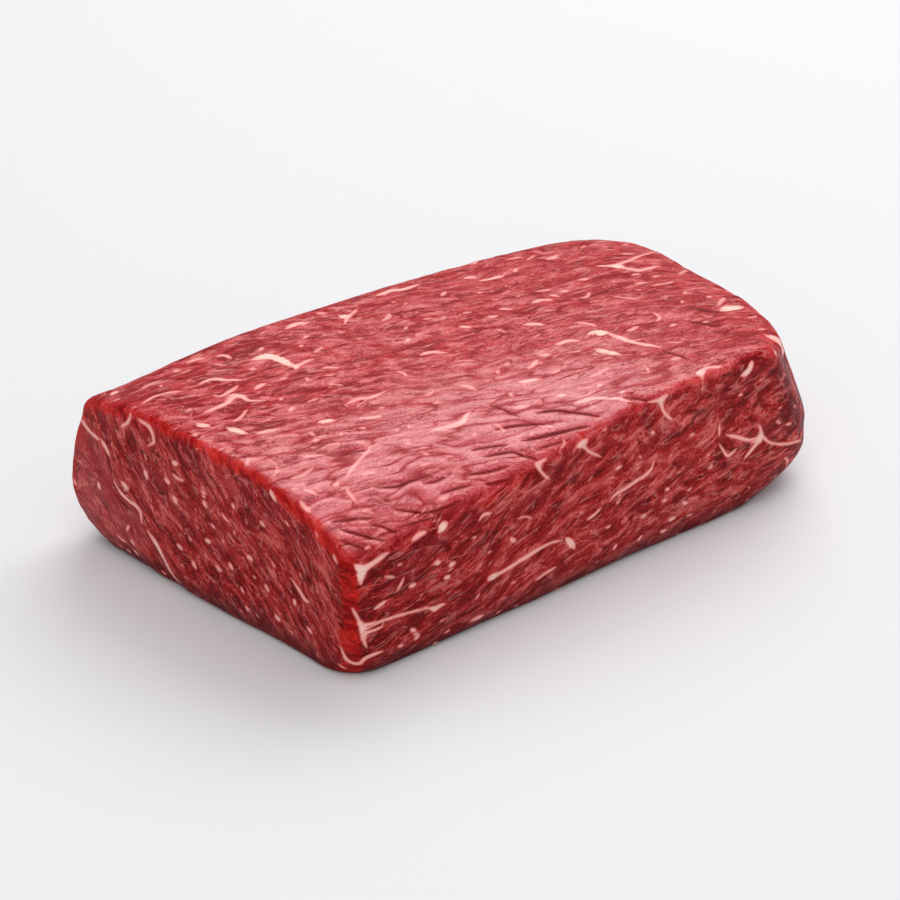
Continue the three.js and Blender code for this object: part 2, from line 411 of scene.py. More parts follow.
def relief(places, normals, bundles, rippled):
    """How far the fibres' ridges, swells and bumps stand out, in metres."""
    end = smooth_step(np.abs(normals[:, 0]), 0.5, 0.9)
    furrow = 1 - smooth_step(np.abs(bundles), 0.0, FURROW)
    height = (RIDGE + RIPPLE_EXTRA * rippled) * (1 - 0.3 * end) * (0.5 - furrow)
    height += SWELL * noise(places / MM / SWELL_APART, SWELLS)
    height += BUMP * noise(places / MM / BUMP_APART, BUMPS)
    return height * (1 - 0.5 * smooth_step(places[:, 0], *SMOOTHER_END)) * MM


def crease_height(creases):
    """How far the surface sinks in the creases, in metres, as a height below 0."""
    offset, width, _ = creases
    distance = np.linalg.norm(offset, axis=1)
    return -CREASE_DEPTH * MM * np.exp(-((distance / (HOLLOW_EXTRA + width)) ** 2))


def keep_flat_below(places):
    """The underside stays flat on the floor."""
    places[:, 2] = np.maximum(places[:, 2], 0)
    return places


def store_fields(mesh, tree, places, normals):
    """Stores what the material reads, and returns what the relief needs: the bundles, the rippled part, the
    rims' painted glow and the creases."""
    grain = grain_places(levelled(places, normals, tree))
    bundles = bundle_noise(grain)
    rippled = rippled_part(places, normals)
    rim_glow = rim_glow_strength(edge_sharpness(mesh, places, normals), places, normals)
    creases = crease_strokes(tree).fields(places)
    store(mesh, "grain", grain)
    store(mesh, "bundles", bundles)
    # The rims' painted glow of light shining through the thin edges
    store(mesh, "rim_glow", rim_glow)
    store(mesh, "small_muscle", small_muscle(places, normals))
    store(mesh, "rippled", rippled)
    # The painted sheen on the top's ridges
    store(mesh, "painted_sheen", painted_sheen_part(places, rippled))
    store(mesh, "streaky", streaky_part(places, normals))
    # The painted shadow at the foot of the sides
    store(mesh, "low", painted_foot_shadow(places, normals))
    # The painted light and shade along the near side
    store(mesh, "shade", near_shade(places, normals))
    store(mesh, "topward", neighbour_mean(mesh, facing(normals, UP, 0.3, 0.8), 2))
    # The painted shade on the top's far edge
    store(mesh, "far_edge_shade", far_edge_shade(normals))
    fat = fat_strokes(tree, mesh).fields(places)
    store_strokes(mesh, "fat", fat)
    store(mesh, "fat_strength", fat[2])
    store_strokes(mesh, "crease", creases)
    return bundles, rippled, rim_glow, creases


def make_beef():
    """The block, with its relief and its material."""
    block = fine_copy("beef_block")
    mesh = block.data
    soften_far_corner(mesh)
    places = vectors(mesh.vertices, "co")
    normals = vectors(mesh.vertex_normals, "vector")
    tree = BVHTree.FromPolygons([v.co for v in mesh.vertices], [p.vertices for p in mesh.polygons])
    bundles, rippled, rim_glow, creases = store_fields(mesh, tree, places, normals)
    height = relief(places, normals, bundles, rippled)
    height += RIM_LUMP * MM * rim_glow * noise(places / MM / RIM_LUMP_APART, RIM_LUMPS)
    height += crease_height(creases)
    off_floor = smooth_step(places[:, 2], *FLOOR_BAND)
    places += normals * (height * off_floor)[:, None]
    move_vertices(mesh, keep_flat_below(places))
    for polygon in mesh.polygons:
        polygon.use_smooth = True
    mesh.materials.clear()
    mesh.materials.append(beef_material())
    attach(block, "root")
    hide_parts("beef_block")


# Strokes: thin curves on the surface, for veins of fat and for creases


class Strokes:
    """Curves on a surface, as close samples with a direction, a half width and a strength."""

    # The samples' spacing, how far a knot reaches along its curve, and how late a taper sets in
    STEP = 0.3 * MM
    KNOT_REACH = 1.8 * MM
    BLUNTNESS = 4

    def __init__(self):
        self.samples = []

    def add(self, places, half_width, strength=1.0, taper=(0.5, 0.5), knot=0.0):
        """A curve through places, in metres. At its two ends its width shrinks by these shares. Where it
        starts from a knot, its half width there is larger by this much."""
        spans = [(b - a).length for a, b in zip(places, places[1:])]
        lengths = np.concatenate([[0], np.cumsum(spans)])
        count = max(2, int(lengths[-1] / self.STEP) + 1)
        stops = np.linspace(0, lengths[-1], count)
        path = np.stack([np.interp(stops, lengths, [p[n] for p in places]) for n in range(3)], axis=1)
        slopes = np.gradient(path, axis=0)
        slopes /= np.linalg.norm(slopes, axis=1)[:, None] + 1e-12
        for place, slope, stop in zip(path, slopes, stops):
            share = stop / max(lengths[-1], 1e-9)
            shrink = taper[0] * max(1 - 2 * share, 0) ** self.BLUNTNESS
            shrink += taper[1] * max(2 * share - 1, 0) ** self.BLUNTNESS
            wide = half_width * (1 - shrink) + knot * math.exp(-((stop / self.KNOT_REACH) ** 2))
            self.samples.append((place, slope, stop, lengths[-1], wide, strength))

    def fields(self, places):
        """For each place, in millimetres: its offset from the nearest curve, that curve's half width
        there, and its strength."""
        tree = KDTree(len(self.samples))
        for index, sample in enumerate(self.samples):
            tree.insert(sample[0], index)
        tree.balance()
        nearest = [tree.find(place)[1] for place in places]
        on_curve, slope = (np.array([sample[n] for sample in self.samples])[nearest] for n in (0, 1))
        stop, length, width, strength = np.array([sample[2:] for sample in self.samples])[nearest].T
        offset = places - on_curve
        along = np.clip(np.sum(offset * slope, axis=1), -stop, length - stop)
        return (offset - along[:, None] * slope) / MM, width / MM, strength


def smooth_curve(points, per_span=5):
    """Points along a smooth curve through a few points."""
    points = [np.array(point, float) for point in points]
    if len(points) < 3:
        return points
    padded = [2 * points[0] - points[1], *points, 2 * points[-1] - points[-2]]
    curve = []
    for a, b, c, d in zip(padded, padded[1:], padded[2:], padded[3:]):
        for share in np.arange(per_span) / per_span:
            bend = (3 * b - a - 3 * c + d) * share**3 + (2 * a - 5 * b + 4 * c - d) * share**2
            curve.append(0.5 * (bend + (c - a) * share + 2 * b))
    return [*curve, points[-1]]


# Veins of fat as the photograph shows them: the width in pixels, and the pixels that each passes through
VEINS = (
    (3.6, ((252, 360), (264, 357), (275, 358), (286, 363), (293, 367))),
    (2.4, ((199, 384), (212, 379), (224, 380), (241, 380))),
    (2.4, ((214, 395), (221, 396), (230, 391), (238, 385))),
    (2.3, ((204, 413), (224, 405), (234, 397), (241, 396), (249, 401), (265, 400))),
    (2.6, ((255, 389), (261, 385), (266, 383))),
    (2.6, ((233, 422), (241, 417), (247, 410))),
    (3.4, ((227, 428), (236, 431), (247, 434))),
    (2.6, ((256, 434), (268, 431), (279, 429))),
    (3.2, ((318, 423), (326, 421), (334, 421))),
    (2.0, ((345, 405), (358, 399), (370, 398), (386, 391))),
    (2.2, ((216, 356), (224, 355), (231, 358))),
    (2.6, ((286, 329), (296, 324), (308, 323))),
    (3.2, ((197, 424), (209, 427))),
    (2.0, ((142, 404), (152, 398), (163, 394), (180, 391))),
    (2.8, ((111, 395), (118, 391))),
    (3.2, ((431, 432), (440, 429), (452, 426), (463, 422), (466, 416), (471, 412))),
    (3.0, ((371, 445), (367, 452), (356, 464), (345, 479))),
    (3.8, ((334, 486), (338, 483))),
    (2.6, ((346, 489), (356, 502))),
    (2.4, ((606, 331), (613, 335), (630, 341), (643, 344), (660, 347))),
    (3.2, ((595, 349), (608, 352), (621, 355))),
    (3.6, ((721, 311), (732, 308), (743, 307))),
    (2.2, ((532, 303), (542, 300), (552, 300))),
    (2.4, ((519, 383), (530, 381), (541, 379))),
    (2.4, ((376, 295), (391, 291), (403, 290), (419, 285))),
    (2.2, ((459, 326), (471, 327))),
    (2.2, ((499, 309), (512, 309))),
    (2.4, ((524, 325), (534, 324), (545, 325))),
    (2.2, ((575, 404), (590, 399), (610, 398), (632, 401))),
    (3.8, ((767, 337), (775, 338), (782, 341))),
    (2.2, ((480, 281), (492, 279), (504, 276))),
    (2.0, ((420, 355), (432, 352), (446, 353))),
    (2.0, ((556, 345), (568, 341), (580, 341))),
    (2.6, ((374, 609), (386, 601))),
    (2.2, ((535, 580), (545, 574), (556, 567))),
    (4.6, ((566, 538), (570, 542), (575, 549))),
    (2.2, ((470, 621), (483, 615))),
    (5.0, ((439, 532), (443, 526), (446, 522))),
    (3.6, ((412, 541), (419, 535), (426, 532))),
    (2.2, ((479, 521), (483, 515), (491, 513))),
    (3.8, ((753, 361), (748, 371), (741, 376))),
    (2.4, ((655, 460), (649, 472), (631, 485), (615, 495), (610, 502))),
    (2.4, ((601, 508), (594, 515), (587, 520))),
    (2.0, ((720, 424), (719, 436))),
    (2.6, ((340, 646), (347, 660), (358, 664), (367, 657), (383, 651))),
    (2.4, ((81, 420), (91, 433), (99, 440))),
    (2.6, ((101, 440), (105, 448), (109, 457))),
    (2.0, ((112, 476), (119, 490), (129, 500), (140, 510), (142, 523))),
    (2.2, ((148, 531), (158, 547), (170, 570), (182, 586))),
    (2.4, ((131, 413), (129, 421), (121, 427))),
    (2.0, ((138, 419), (149, 427), (154, 441), (148, 446))),
    (3.2, ((270, 490), (273, 496), (276, 502))),
    (3.4, ((300, 501), (305, 507), (311, 513))),
    (2.2, ((291, 578), (298, 589), (305, 600), (309, 602))),
    (2.6, ((765, 335), (771, 338), (777, 341), (782, 347), (783, 356))),
    (2.6, ((719, 444), (723, 450), (728, 456), (737, 449))),
)

# Veins that start out from a thick knot, which comes first
BRANCHES = (
    (4.2, ((347, 317), (352, 313), (357, 309))),
    (4.2, ((347, 317), (339, 315))),
    (4.2, ((347, 317), (345, 324))),
    (4.0, ((294, 367), (305, 362), (314, 359))),
    (4.6, ((601, 333), (595, 332), (588, 335))),
    (4.6, ((601, 333), (608, 332))),
    (3.4, ((616, 266), (606, 266), (596, 266))),
    (3.4, ((616, 266), (639, 270), (658, 266))),
    (3.0, ((617, 265), (628, 261), (639, 256), (654, 252))),
    (6.2, ((361, 571), (372, 564), (380, 558), (388, 553))),
    (6.2, ((361, 571), (355, 565))),
    (6.2, ((361, 571), (361, 578), (361, 584))),
    (5.0, ((362, 627), (357, 617), (352, 608))),
    (4.8, ((362, 627), (363, 638), (367, 648))),
    (3.8, ((362, 626), (381, 621), (411, 612), (430, 608))),
    (3.2, ((364, 633), (374, 630), (383, 626))),
    (4.2, ((434, 609), (429, 608), (422, 609))),
    (4.2, ((434, 609), (445, 604))),
    (4.6, ((493, 577), (510, 567), (536, 551), (551, 543), (561, 541))),
    (4.6, ((493, 577), (488, 579))),
    (4.2, ((537, 464), (546, 459))),
    (4.2, ((537, 464), (542, 473), (549, 479))),
    (4.4, ((582, 444), (576, 447))),
    (4.4, ((582, 444), (587, 440))),
    (4.0, ((582, 445), (590, 452), (601, 457))),
    (4.2, ((661, 400), (648, 402))),
    (4.2, ((661, 400), (668, 395))),
    (4.2, ((661, 400), (664, 412), (672, 420))),
    (3.6, ((700, 374), (706, 368), (721, 367))),
    (3.6, ((700, 374), (702, 391))),
    (4.6, ((762, 436), (759, 425))),
    (4.2, ((761, 437), (749, 440), (737, 437), (726, 435))),
    (4.2, ((763, 437), (771, 443), (787, 444), (801, 440))),
    (4.2, ((761, 438), (755, 446), (744, 459))),
)

# Dots of fat: the pixel that each is at
DOTS = (
    (291, 410), (161, 386), (341, 434), (312, 434), (261, 349), (306, 337), (301, 346), (307, 379),
    (281, 399), (409, 427), (397, 430), (498, 372), (685, 293), (709, 297), (673, 325), (648, 370),
    (682, 302), (408, 340), (406, 328), (511, 394), (195, 435), (437, 563), (452, 564), (447, 577),
    (412, 585), (413, 630), (417, 637), (435, 643), (513, 540), (644, 516), (672, 519), (685, 503),
    (667, 489), (663, 531), (608, 527), (640, 538), (615, 547), (618, 502), (146, 475), (167, 481),
    (175, 463), (175, 500), (205, 504), (233, 506), (213, 526), (208, 541), (262, 524), (180, 547),
    (231, 566), (250, 558), (194, 565), (242, 590), (267, 588), (247, 609), (278, 618), (309, 630),
    (295, 602), (99, 486), (128, 528), (129, 551), (136, 553),
)

# The creases, which sink into the surface and are darkened with painted shade, most of them on the top's
# near part: the width in pixels, and the pixels that each passes through
CREASES = (
    (4.1, ((522, 441), (548, 435), (572, 429), (590, 425))),
    (3.0, ((495, 429), (512, 426), (528, 424), (546, 423))),
    (3.5, ((483, 457), (511, 452), (522, 455), (537, 459))),
    (3.2, ((469, 474), (490, 471), (508, 466))),
    (3.2, ((486, 484), (498, 482), (509, 479))),
    (3.2, ((376, 487), (395, 486), (412, 480), (433, 474))),
    (3.0, ((424, 483), (438, 480), (451, 472))),
    (3.5, ((394, 509), (410, 511), (426, 512), (445, 507), (461, 500))),
    (3.0, ((442, 493), (456, 488), (472, 484))),
    (3.2, ((340, 529), (362, 535), (386, 541))),
    (2.4, ((492, 404), (506, 410), (519, 416))),
    (2.4, ((340, 455), (356, 451), (369, 449))),
    (3.2, ((689, 321), (704, 323), (721, 326))),
    (3.2, ((693, 308), (706, 310), (719, 312))),
    (2.4, ((578, 300), (598, 293), (617, 287))),
    (2.7, ((624, 396), (642, 399), (660, 404))),
    (2.4, ((663, 350), (676, 354), (689, 359))),
    (2.4, ((472, 450), (490, 447), (507, 445))),
    (3.0, ((104, 446), (108, 462), (112, 478))),
    (2.4, ((113, 492), (121, 502), (132, 512))),
    (4.4, ((736, 364), (748, 360), (759, 358), (768, 360))),
    (3.0, ((536, 413), (554, 410), (578, 412), (600, 416))),
    (3.0, ((332, 522), (350, 519), (372, 518))),
    (2.6, ((372, 524), (384, 527), (396, 533))),
    (2.6, ((340, 540), (352, 544), (364, 549))),
    (2.6, ((400, 527), (420, 521), (440, 516))),
    (2.4, ((536, 449), (553, 444), (570, 439))),
)


# How full strokes are: their half width, as a share of the width that is given, and the shares of it that
# they lose at their start and their end
VEIN_FULLNESS = 0.74
VEIN_TAPER = (0.7, 0.7)
BRANCH_FULLNESS = 0.72
BRANCH_TAPER = (0.0, 0.7)
KNOT_SHARE = 0.4
CREASE_FULLNESS = 0.46
CREASE_TAPER = (0.9, 0.9)

# Strokes on a surface that is seen at a low angle aren't widened beyond this
LOWEST_FORESHORTENING = 0.5


def foreshortening(normal, heading):
    """The share of its true width at which a stroke shows in the photograph, from the surface's normal and
    the stroke's heading."""
    if normal is None:
        return 1.0
    return max(abs(normal.dot(LOOK)) / heading.normalized().cross(LOOK).length, LOWEST_FORESHORTENING)


def add_strokes(tree, strokes, group, fullness, taper, knot_share=0.0):
    """Adds strokes that the photograph shows. Their half width is this fullness of the width that is given,
    and a share of it can belong to the knot at the start."""
    for width, pixels in group:
        found = [on_surface(tree, *pixel)[:2] for pixel in smooth_curve(pixels)]
        places = [place for place, _ in found if place is not None]
        if len(places) > 1:
            slant = foreshortening(found[len(found) // 2][1], places[-1] - places[0])
            half = fullness * width * (places[0] - CAMERA_PLACE).length * PIXEL_SLOPE / slant
            strokes.add(places, half * (1 - knot_share), taper=taper, knot=half * knot_share)


# A wandering stroke's steps, and how many radians it turns at each: a turn that it keeps, and a new one
WANDER_STEP = 0.8 * MM
WANDER_TURN = 0.10
WANDER_JITTER = 0.09


def wandering_stroke(tree, start, normal, heading, length, rng):
    """A curve of some length over the surface, that sets out in a heading and turns a little."""
    places = [start]
    turn = rng.normal(0, WANDER_TURN)
    for _ in range(int(length / WANDER_STEP)):
        heading = heading - normal * heading.dot(normal)
        heading.rotate(Quaternion(normal, turn + rng.normal(0, WANDER_JITTER)))
        heading.normalize()
        found = tree.find_nearest(places[-1] + heading * WANDER_STEP)
        places.append(found[0])
        normal = found[1]
    return places


# The flecks of fat that lie all over the block. Lengths and widths are in millimetres, for the top and for
# the other faces.
FLECKS = 620
FLECK_SPACING = 3.7 * MM
FLECK_TRIES = 20
FLECK_TURN = 0.35
FLECK_LENGTHS = (3.0, 1.8)
FLECK_LENGTH_SPREAD = 0.55
FLECK_LENGTH_LIMITS = (0.5, 11)
FLECK_HALF_WIDTHS = (0.70, 0.54)
FLECK_WIDTH_SPREAD = 0.3
FLECK_HALF_WIDTH_LIMITS = (0.34, 1.0)
FLECK_STRENGTHS = (0.65, 1.0)
FLECK_SEED = 11

# The dots of fat that the photograph shows, in millimetres
DOT_HALF_LENGTHS = (0.4, 0.9)
DOT_HALF_WIDTHS = (0.65, 0.95)
DOT_TURN = 0.5
DOT_STRENGTH = 0.95
DOT_TAPER = (0.2, 0.2)
DOT_SEED = 5


class Clearance:
    """Places kept in a grid of cells, to tell whether a new place is clear of them all."""

    def __init__(self, spacing, places):
        self.spacing = spacing
        self.cells = {}
        for place in places:
            self.add(place)

    def cell(self, place):
        return tuple(int(math.floor(value / self.spacing)) for value in place)

    def add(self, place):
        self.cells.setdefault(self.cell(place), []).append(place)

    def is_clear(self, place):
        here = self.cell(place)
        for step in product((-1, 0, 1), repeat=3):
            for other in self.cells.get(tuple(map(sum, zip(here, step))), ()):
                if (other - place).length < self.spacing:
                    return False
        return True


def fleck_size(usual, spread, limits, rng):
    """A length that is mostly near the usual one, in metres."""
    return float(np.clip(usual * rng.lognormal(0, spread), *limits)) * MM


def add_flecks(tree, mesh, strokes, rng):
    """Flecks of fat all over the block, along the fibres, that keep clear of the strokes already there."""
    clearance = Clearance(FLECK_SPACING, [Vector(sample[0]) for sample in strokes.samples[::3]])
    added = 0
    for _ in range(FLECK_TRIES * FLECKS):
        if added == FLECKS:
            break
        vertex = mesh.vertices[int(rng.integers(len(mesh.vertices)))]
        start = vertex.co.copy()
        if not clearance.is_clear(start):
            continue
        normal = vertex.normal.copy()
        face = 0 if normal.z > OWN_FACE else 1
        heading = Vector(fibre_heading(normal))
        heading.rotate(Quaternion(normal, rng.normal(0, FLECK_TURN)))
        length = fleck_size(FLECK_LENGTHS[face], FLECK_LENGTH_SPREAD, FLECK_LENGTH_LIMITS, rng)
        half_width = fleck_size(FLECK_HALF_WIDTHS[face], FLECK_WIDTH_SPREAD, FLECK_HALF_WIDTH_LIMITS, rng)
        places = wandering_stroke(tree, start, normal, heading, length, rng)
        if not all(clearance.is_clear(place) for place in places[::3]):
            continue
        strokes.add(places, half_width, float(rng.uniform(*FLECK_STRENGTHS)))
        for place in places[::2]:
            clearance.add(place)
        added += 1


def add_dots(tree, strokes, rng):
    """The dots that the photograph shows. Those on the top are stretched away from the camera, as their
    length there is foreshortened, and the others along the fibres."""
    for x, y in DOTS:
        place, normal = on_surface(tree, x, y)[:2]
        heading = AWAY.copy() if normal.z > OWN_FACE else Vector(fibre_heading(normal))
        heading.rotate(Quaternion(normal, rng.normal(0, DOT_TURN)))
        half = heading * rng.uniform(*DOT_HALF_LENGTHS) * MM
        half_width = rng.uniform(*DOT_HALF_WIDTHS) * MM
        strokes.add([place - half, place + half], half_width, DOT_STRENGTH, DOT_TAPER)


def fat_strokes(tree, mesh):
    strokes = Strokes()
    add_strokes(tree, strokes, VEINS, VEIN_FULLNESS, VEIN_TAPER)
    add_strokes(tree, strokes, BRANCHES, BRANCH_FULLNESS, BRANCH_TAPER, KNOT_SHARE)
    add_dots(tree, strokes, np.random.default_rng(DOT_SEED))
    add_flecks(tree, mesh, strokes, np.random.default_rng(FLECK_SEED))
    return strokes


def crease_strokes(tree):
    strokes = Strokes()
    add_strokes(tree, strokes, CREASES, CREASE_FULLNESS, CREASE_TAPER)
    return strokes


def store_strokes(mesh, name, fields):
    offset, width, _ = fields
    store(mesh, name, offset)
    store(mesh, name + "_width", width)
    store(mesh, name + "_gap", np.linalg.norm(offset, axis=1))


# Materials


class Shader:
    """Short calls that add nodes to a new material and return their outputs."""

    def __init__(self, name):
        self.material = bpy.data.materials.new(name)
        self.material.use_nodes = True
        self.tree = self.material.node_tree
        self.surface = self.tree.nodes["Principled BSDF"]
        self.attributes = {}

    def set_surface(self, name, value):
        self.set(self.surface.inputs[name], value)

    def set(self, socket, value):
        if isinstance(value, bpy.types.NodeSocket):
            self.tree.links.new(value, socket)
        else:
            socket.default_value = value

    def add(self, kind, values=(), **settings):
        node = self.tree.nodes.new("ShaderNode" + kind)
        for name, value in settings.items():
            setattr(node, name, value)
        for key, value in dict(values).items():
            self.set(node.inputs[key], value)
        return node

    def attribute(self, name, output="Fac"):
        if name not in self.attributes:
            self.attributes[name] = self.add("Attribute", attribute_name=name)
        return self.attributes[name].outputs[output]

    def math(self, operation, *values):
        return self.add("Math", enumerate(values), operation=operation).outputs[0]

    def scaled(self, vector, factors, offset):
        node = self.add("Mapping", {"Vector": vector, "Scale": factors, "Location": offset})
        return node.outputs[0]

    def noise(self, vector, detail, roughness, distortion):
        values = {"Vector": vector, "Scale": 1.0, "Detail": detail, "Roughness": roughness}
        values["Distortion"] = distortion
        return self.add("TexNoise", values).outputs["Fac"]

    def step(self, value, low, high, to_low=0.0, to_high=1.0):
        values = {"Value": value, "From Min": low, "From Max": high, "To Min": to_low, "To Max": to_high}
        return self.add("MapRange", values, interpolation_type="SMOOTHSTEP").outputs[0]

    def by_face(self, on_sides, on_top):
        """A number that goes from its value on the sides to its value on the top."""
        return self.step(self.attribute("topward"), 0.0, 1.0, on_sides, on_top)

    def mix(self, factor, first, second):
        node = self.add("Mix", data_type="RGBA")
        for key, value in ((0, factor), (6, first), (7, second)):
            self.set(node.inputs[key], value)
        return node.outputs[2]

    def ramp(self, value, stops):
        node = self.add("ValToRGB", {"Fac": value})
        elements = node.color_ramp.elements
        while len(elements) < len(stops):
            elements.new(0.5)
        for element, (place, shown) in zip(elements, stops):
            element.position = place
            element.color = colour(*shown)
        return node.outputs[0]


def colour(red, green, blue):
    """A linear colour from the 0 to 255 values that it shows as."""
    return tuple(((v / 255 + 0.055) / 1.055) ** 2.4 for v in (red, green, blue)) + (1.0,)


def stroke_mask(shader, name, wander, soft):
    """Where the surface lies inside a stroke, from 0 to 1, and how deep inside, in millimetres. Its width
    wanders by a factor. The gap, which has no direction, tells a stroke from the line halfway between two
    strokes, where the offset turns over."""
    width = shader.attribute(name + "_width")
    offset = shader.attribute(name, "Vector")
    away = shader.add("VectorMath", {0: offset}, operation="LENGTH").outputs["Value"]
    inside = shader.math("SUBTRACT", shader.math("MULTIPLY", width, wander), away)
    over = shader.math("SUBTRACT", shader.attribute(name + "_gap"), width)
    close = shader.step(over, 0.55, 0.85, 1.0, 0.0)
    return shader.math("MULTIPLY", shader.step(inside, -soft, soft), close), inside


def valleys(shader, value, width):
    """1 along the lines where a noise crosses its middle, down to 0 at some width to their sides."""
    off = shader.math("ABSOLUTE", shader.math("SUBTRACT", value, 0.5))
    return shader.step(off, 0.0, width, 1.0, 0.0)


# The material of the meat. Its noises follow the grain: each row gives the features per millimetre along,
# down and across the fibres, where the noise starts, and its detail, roughness and distortion.
PATTERNS = {
    "patches": ((0.05, 0.06, 0.10), (9, 9, 9), 2.0, 0.6, 0.0),
    "gathers": ((0.09, 0.11, 0.20), (3, 5, 1), 1.0, 0.5, 0.0),
    "strands": ((0.12, 0.12, 0.42), (0, 0, 0), 1.0, 0.42, 0.6),
    "seams": ((0.11, 0.10, 0.40), (7, 2, 6), 1.0, 0.5, 0.5),
    "speckle": ((1.2, 1.2, 1.7), (5, 5, 5), 1.0, 0.5, 0.0),
    "threads": ((0.08, 0.16, 0.42), (13, 7, 3), 1.0, 0.6, 0.6),
    "breaks": ((0.16, 0.20, 0.34), (1, 17, 8), 1.0, 0.5, 0.0),
    "hairs": ((0.16, 0.14, 0.60), (4, 11, 2), 1.0, 0.5, 0.3),
}

# How strong each look is, on the sides and on the top
STRAND_DEPTH = (0.62, 0.47)
GRAININESS = (0.44, 0.35)
SEAM_LIGHT = (0.15, -0.08)
THREAD_SHARE = (0.36, 0.50)
HAIR_SHARE = (0.33, 0.10)
FAT_NARROWING = (1.0, 0.84)

# The lean's tone is how light it is, on the scale that its reds are given for. It has a middle, and then:
# how much deeper the strands are on the streaky part and the ripples, how much lighter the streaky part is,
# how much lighter the ripples' crests are as a painted highlight, with a painted shade in the valleys
# between them, how much lighter the top's painted sheen is, and how much lighter the whole top is.
MIDDLE_TONE = 0.50
STREAKY_DEPTH = 0.26
RIPPLED_DEPTH = -0.22
STREAKY_LIGHT = -0.02
CREST_HIGHLIGHT = 0.04
PAINTED_SHEEN_LIGHT = 0.09
TOP_LIGHT = -0.045

# The reds of the lean, from dark to light: the tone and the colour that it shows as. The sides' reds are
# darker than the top's, partly as the meat's own colour there and partly as a painted shade for the lesser
# light that the sides get.
TOP_REDS = ((0.34, (142, 8, 18)), (0.43, (181, 37, 43)), (0.52, (203, 65, 71)), (0.64, (229, 117, 123)))
SIDE_REDS = ((0.34, (100, 5, 7)), (0.47, (148, 23, 24)), (0.58, (178, 45, 45)), (0.76, (212, 100, 96)))
DUSKY_RED = colour(108, 26, 40)
SMALL_MUSCLE_RED = colour(176, 72, 76)
# The painted sheen on the top's ridges
RIDGE_SHEEN_PINK = colour(222, 134, 144)
# The painted shade on the top's far edge
FAR_EDGE_SHADE_RED = colour(158, 22, 28)
THREAD_PINK = colour(244, 146, 140)
HAIR_PINK = colour(236, 122, 114)
# The rims' painted glow of light through the thin edges, darker on the sides, partly as a painted shade
SIDE_RIM_GLOW_DARK = colour(150, 7, 8)
SIDE_RIM_GLOW_BRIGHT = colour(214, 38, 32)
TOP_RIM_GLOW_DARK = colour(176, 14, 14)
TOP_RIM_GLOW_BRIGHT = colour(228, 54, 46)
# The painted shadow at the foot of the sides
FOOT_SHADOW_RED = colour(58, 3, 6)
# The painted shade in the folds between the bundles of fibres, darker on the sides
SIDE_FOLD_SHADE_RED = colour(84, 3, 8)
TOP_FOLD_SHADE_RED = colour(138, 4, 12)
# The painted shade in the creases
CREASE_SHADE_RED = colour(112, 4, 10)
SIDE_THIN_FAT = colour(255, 178, 170)
TOP_THIN_FAT = colour(254, 168, 165)
FAT_CORE = colour(255, 214, 200)
FAT_EDGE = colour(240, 110, 104)

# How much of each colour covers the lean where its part is full
DUSKY_SHARE = 0.25
SMALL_MUSCLE_SHARE = 0.42
RIDGE_SHEEN_SHARE = 0.26
FAR_EDGE_SHADE_SHARE = 0.5
FOOT_SHADOW_SHARE = 0.76
FOLD_SHADE_SHARE = 0.8
FAT_SHARE = 0.95


def fibre_patterns(shader):
    """The meat's noises, with the strokes of fat and creases, whose widths wander with the strands."""
    grain = shader.attribute("grain", "Vector")
    patterns = SimpleNamespace()
    for name, (features, start, detail, roughness, distortion) in PATTERNS.items():
        pattern = shader.noise(shader.scaled(grain, features, start), detail, roughness, distortion)
        setattr(patterns, name, pattern)
    speckle = shader.math("SUBTRACT", patterns.speckle, 0.5)
    patterns.grains = shader.math("MULTIPLY", speckle, shader.by_face(*GRAININESS))
    patterns.bundles = shader.math("MULTIPLY_ADD", shader.attribute("bundles"), 0.5, 0.5)
    wander = shader.step(patterns.strands, 0.3, 0.7, 0.84, 1.16)
    fat, patterns.fat_depth = stroke_mask(shader, "fat", wander, 0.46)
    patterns.fat = shader.math("MULTIPLY", fat, shader.attribute("fat_strength"))
    patterns.crease, patterns.crease_depth = stroke_mask(shader, "crease", wander, 0.60)
    patterns.tone = lean_tone(shader, patterns)
    return patterns


def lean_tone(shader, patterns):
    """How light the lean is: its strands, grains and seams, the painted light and shade along the near
    side, the painted highlights on the ripples' crests, the painted sheen on the top and the top's own
    lightness.
    """
    rippled = shader.attribute("rippled")
    streaky = shader.attribute("streaky")
    depth = shader.math("MULTIPLY_ADD", streaky, STREAKY_DEPTH, shader.by_face(*STRAND_DEPTH))
    depth = shader.math("MULTIPLY_ADD", rippled, RIPPLED_DEPTH, depth)
    strands = shader.math("SUBTRACT", patterns.strands, 0.5)
    tone = shader.math("MULTIPLY_ADD", strands, depth, MIDDLE_TONE)
    tone = shader.math("ADD", tone, patterns.grains)
    tone = shader.math("ADD", tone, shader.attribute("shade"))
    tone = shader.math("MULTIPLY_ADD", streaky, STREAKY_LIGHT, tone)
    # A painted highlight on the ripples' crests, with a painted shade in the valleys between them
    crest_highlight = shader.math("SUBTRACT", 0.6, valleys(shader, patterns.bundles, 0.22))
    tone = shader.math("MULTIPLY_ADD", shader.math("MULTIPLY", rippled, crest_highlight), CREST_HIGHLIGHT, tone)
    seam_lines = valleys(shader, patterns.seams, shader.step(patterns.breaks, 0.35, 0.65, 0.02, 0.07))
    tone = shader.math("MULTIPLY_ADD", seam_lines, shader.by_face(*SEAM_LIGHT), tone)
    shine = shader.math("MULTIPLY_ADD", shader.attribute("painted_sheen"), PAINTED_SHEEN_LIGHT, TOP_LIGHT)
    return shader.math("MULTIPLY_ADD", shader.attribute("topward"), shine, tone)


def tint(shader, mask, share, base, shown):
    """The base colour, with a share of another where the mask is full."""
    return shader.mix(shader.math("MULTIPLY", mask, share), base, shown)


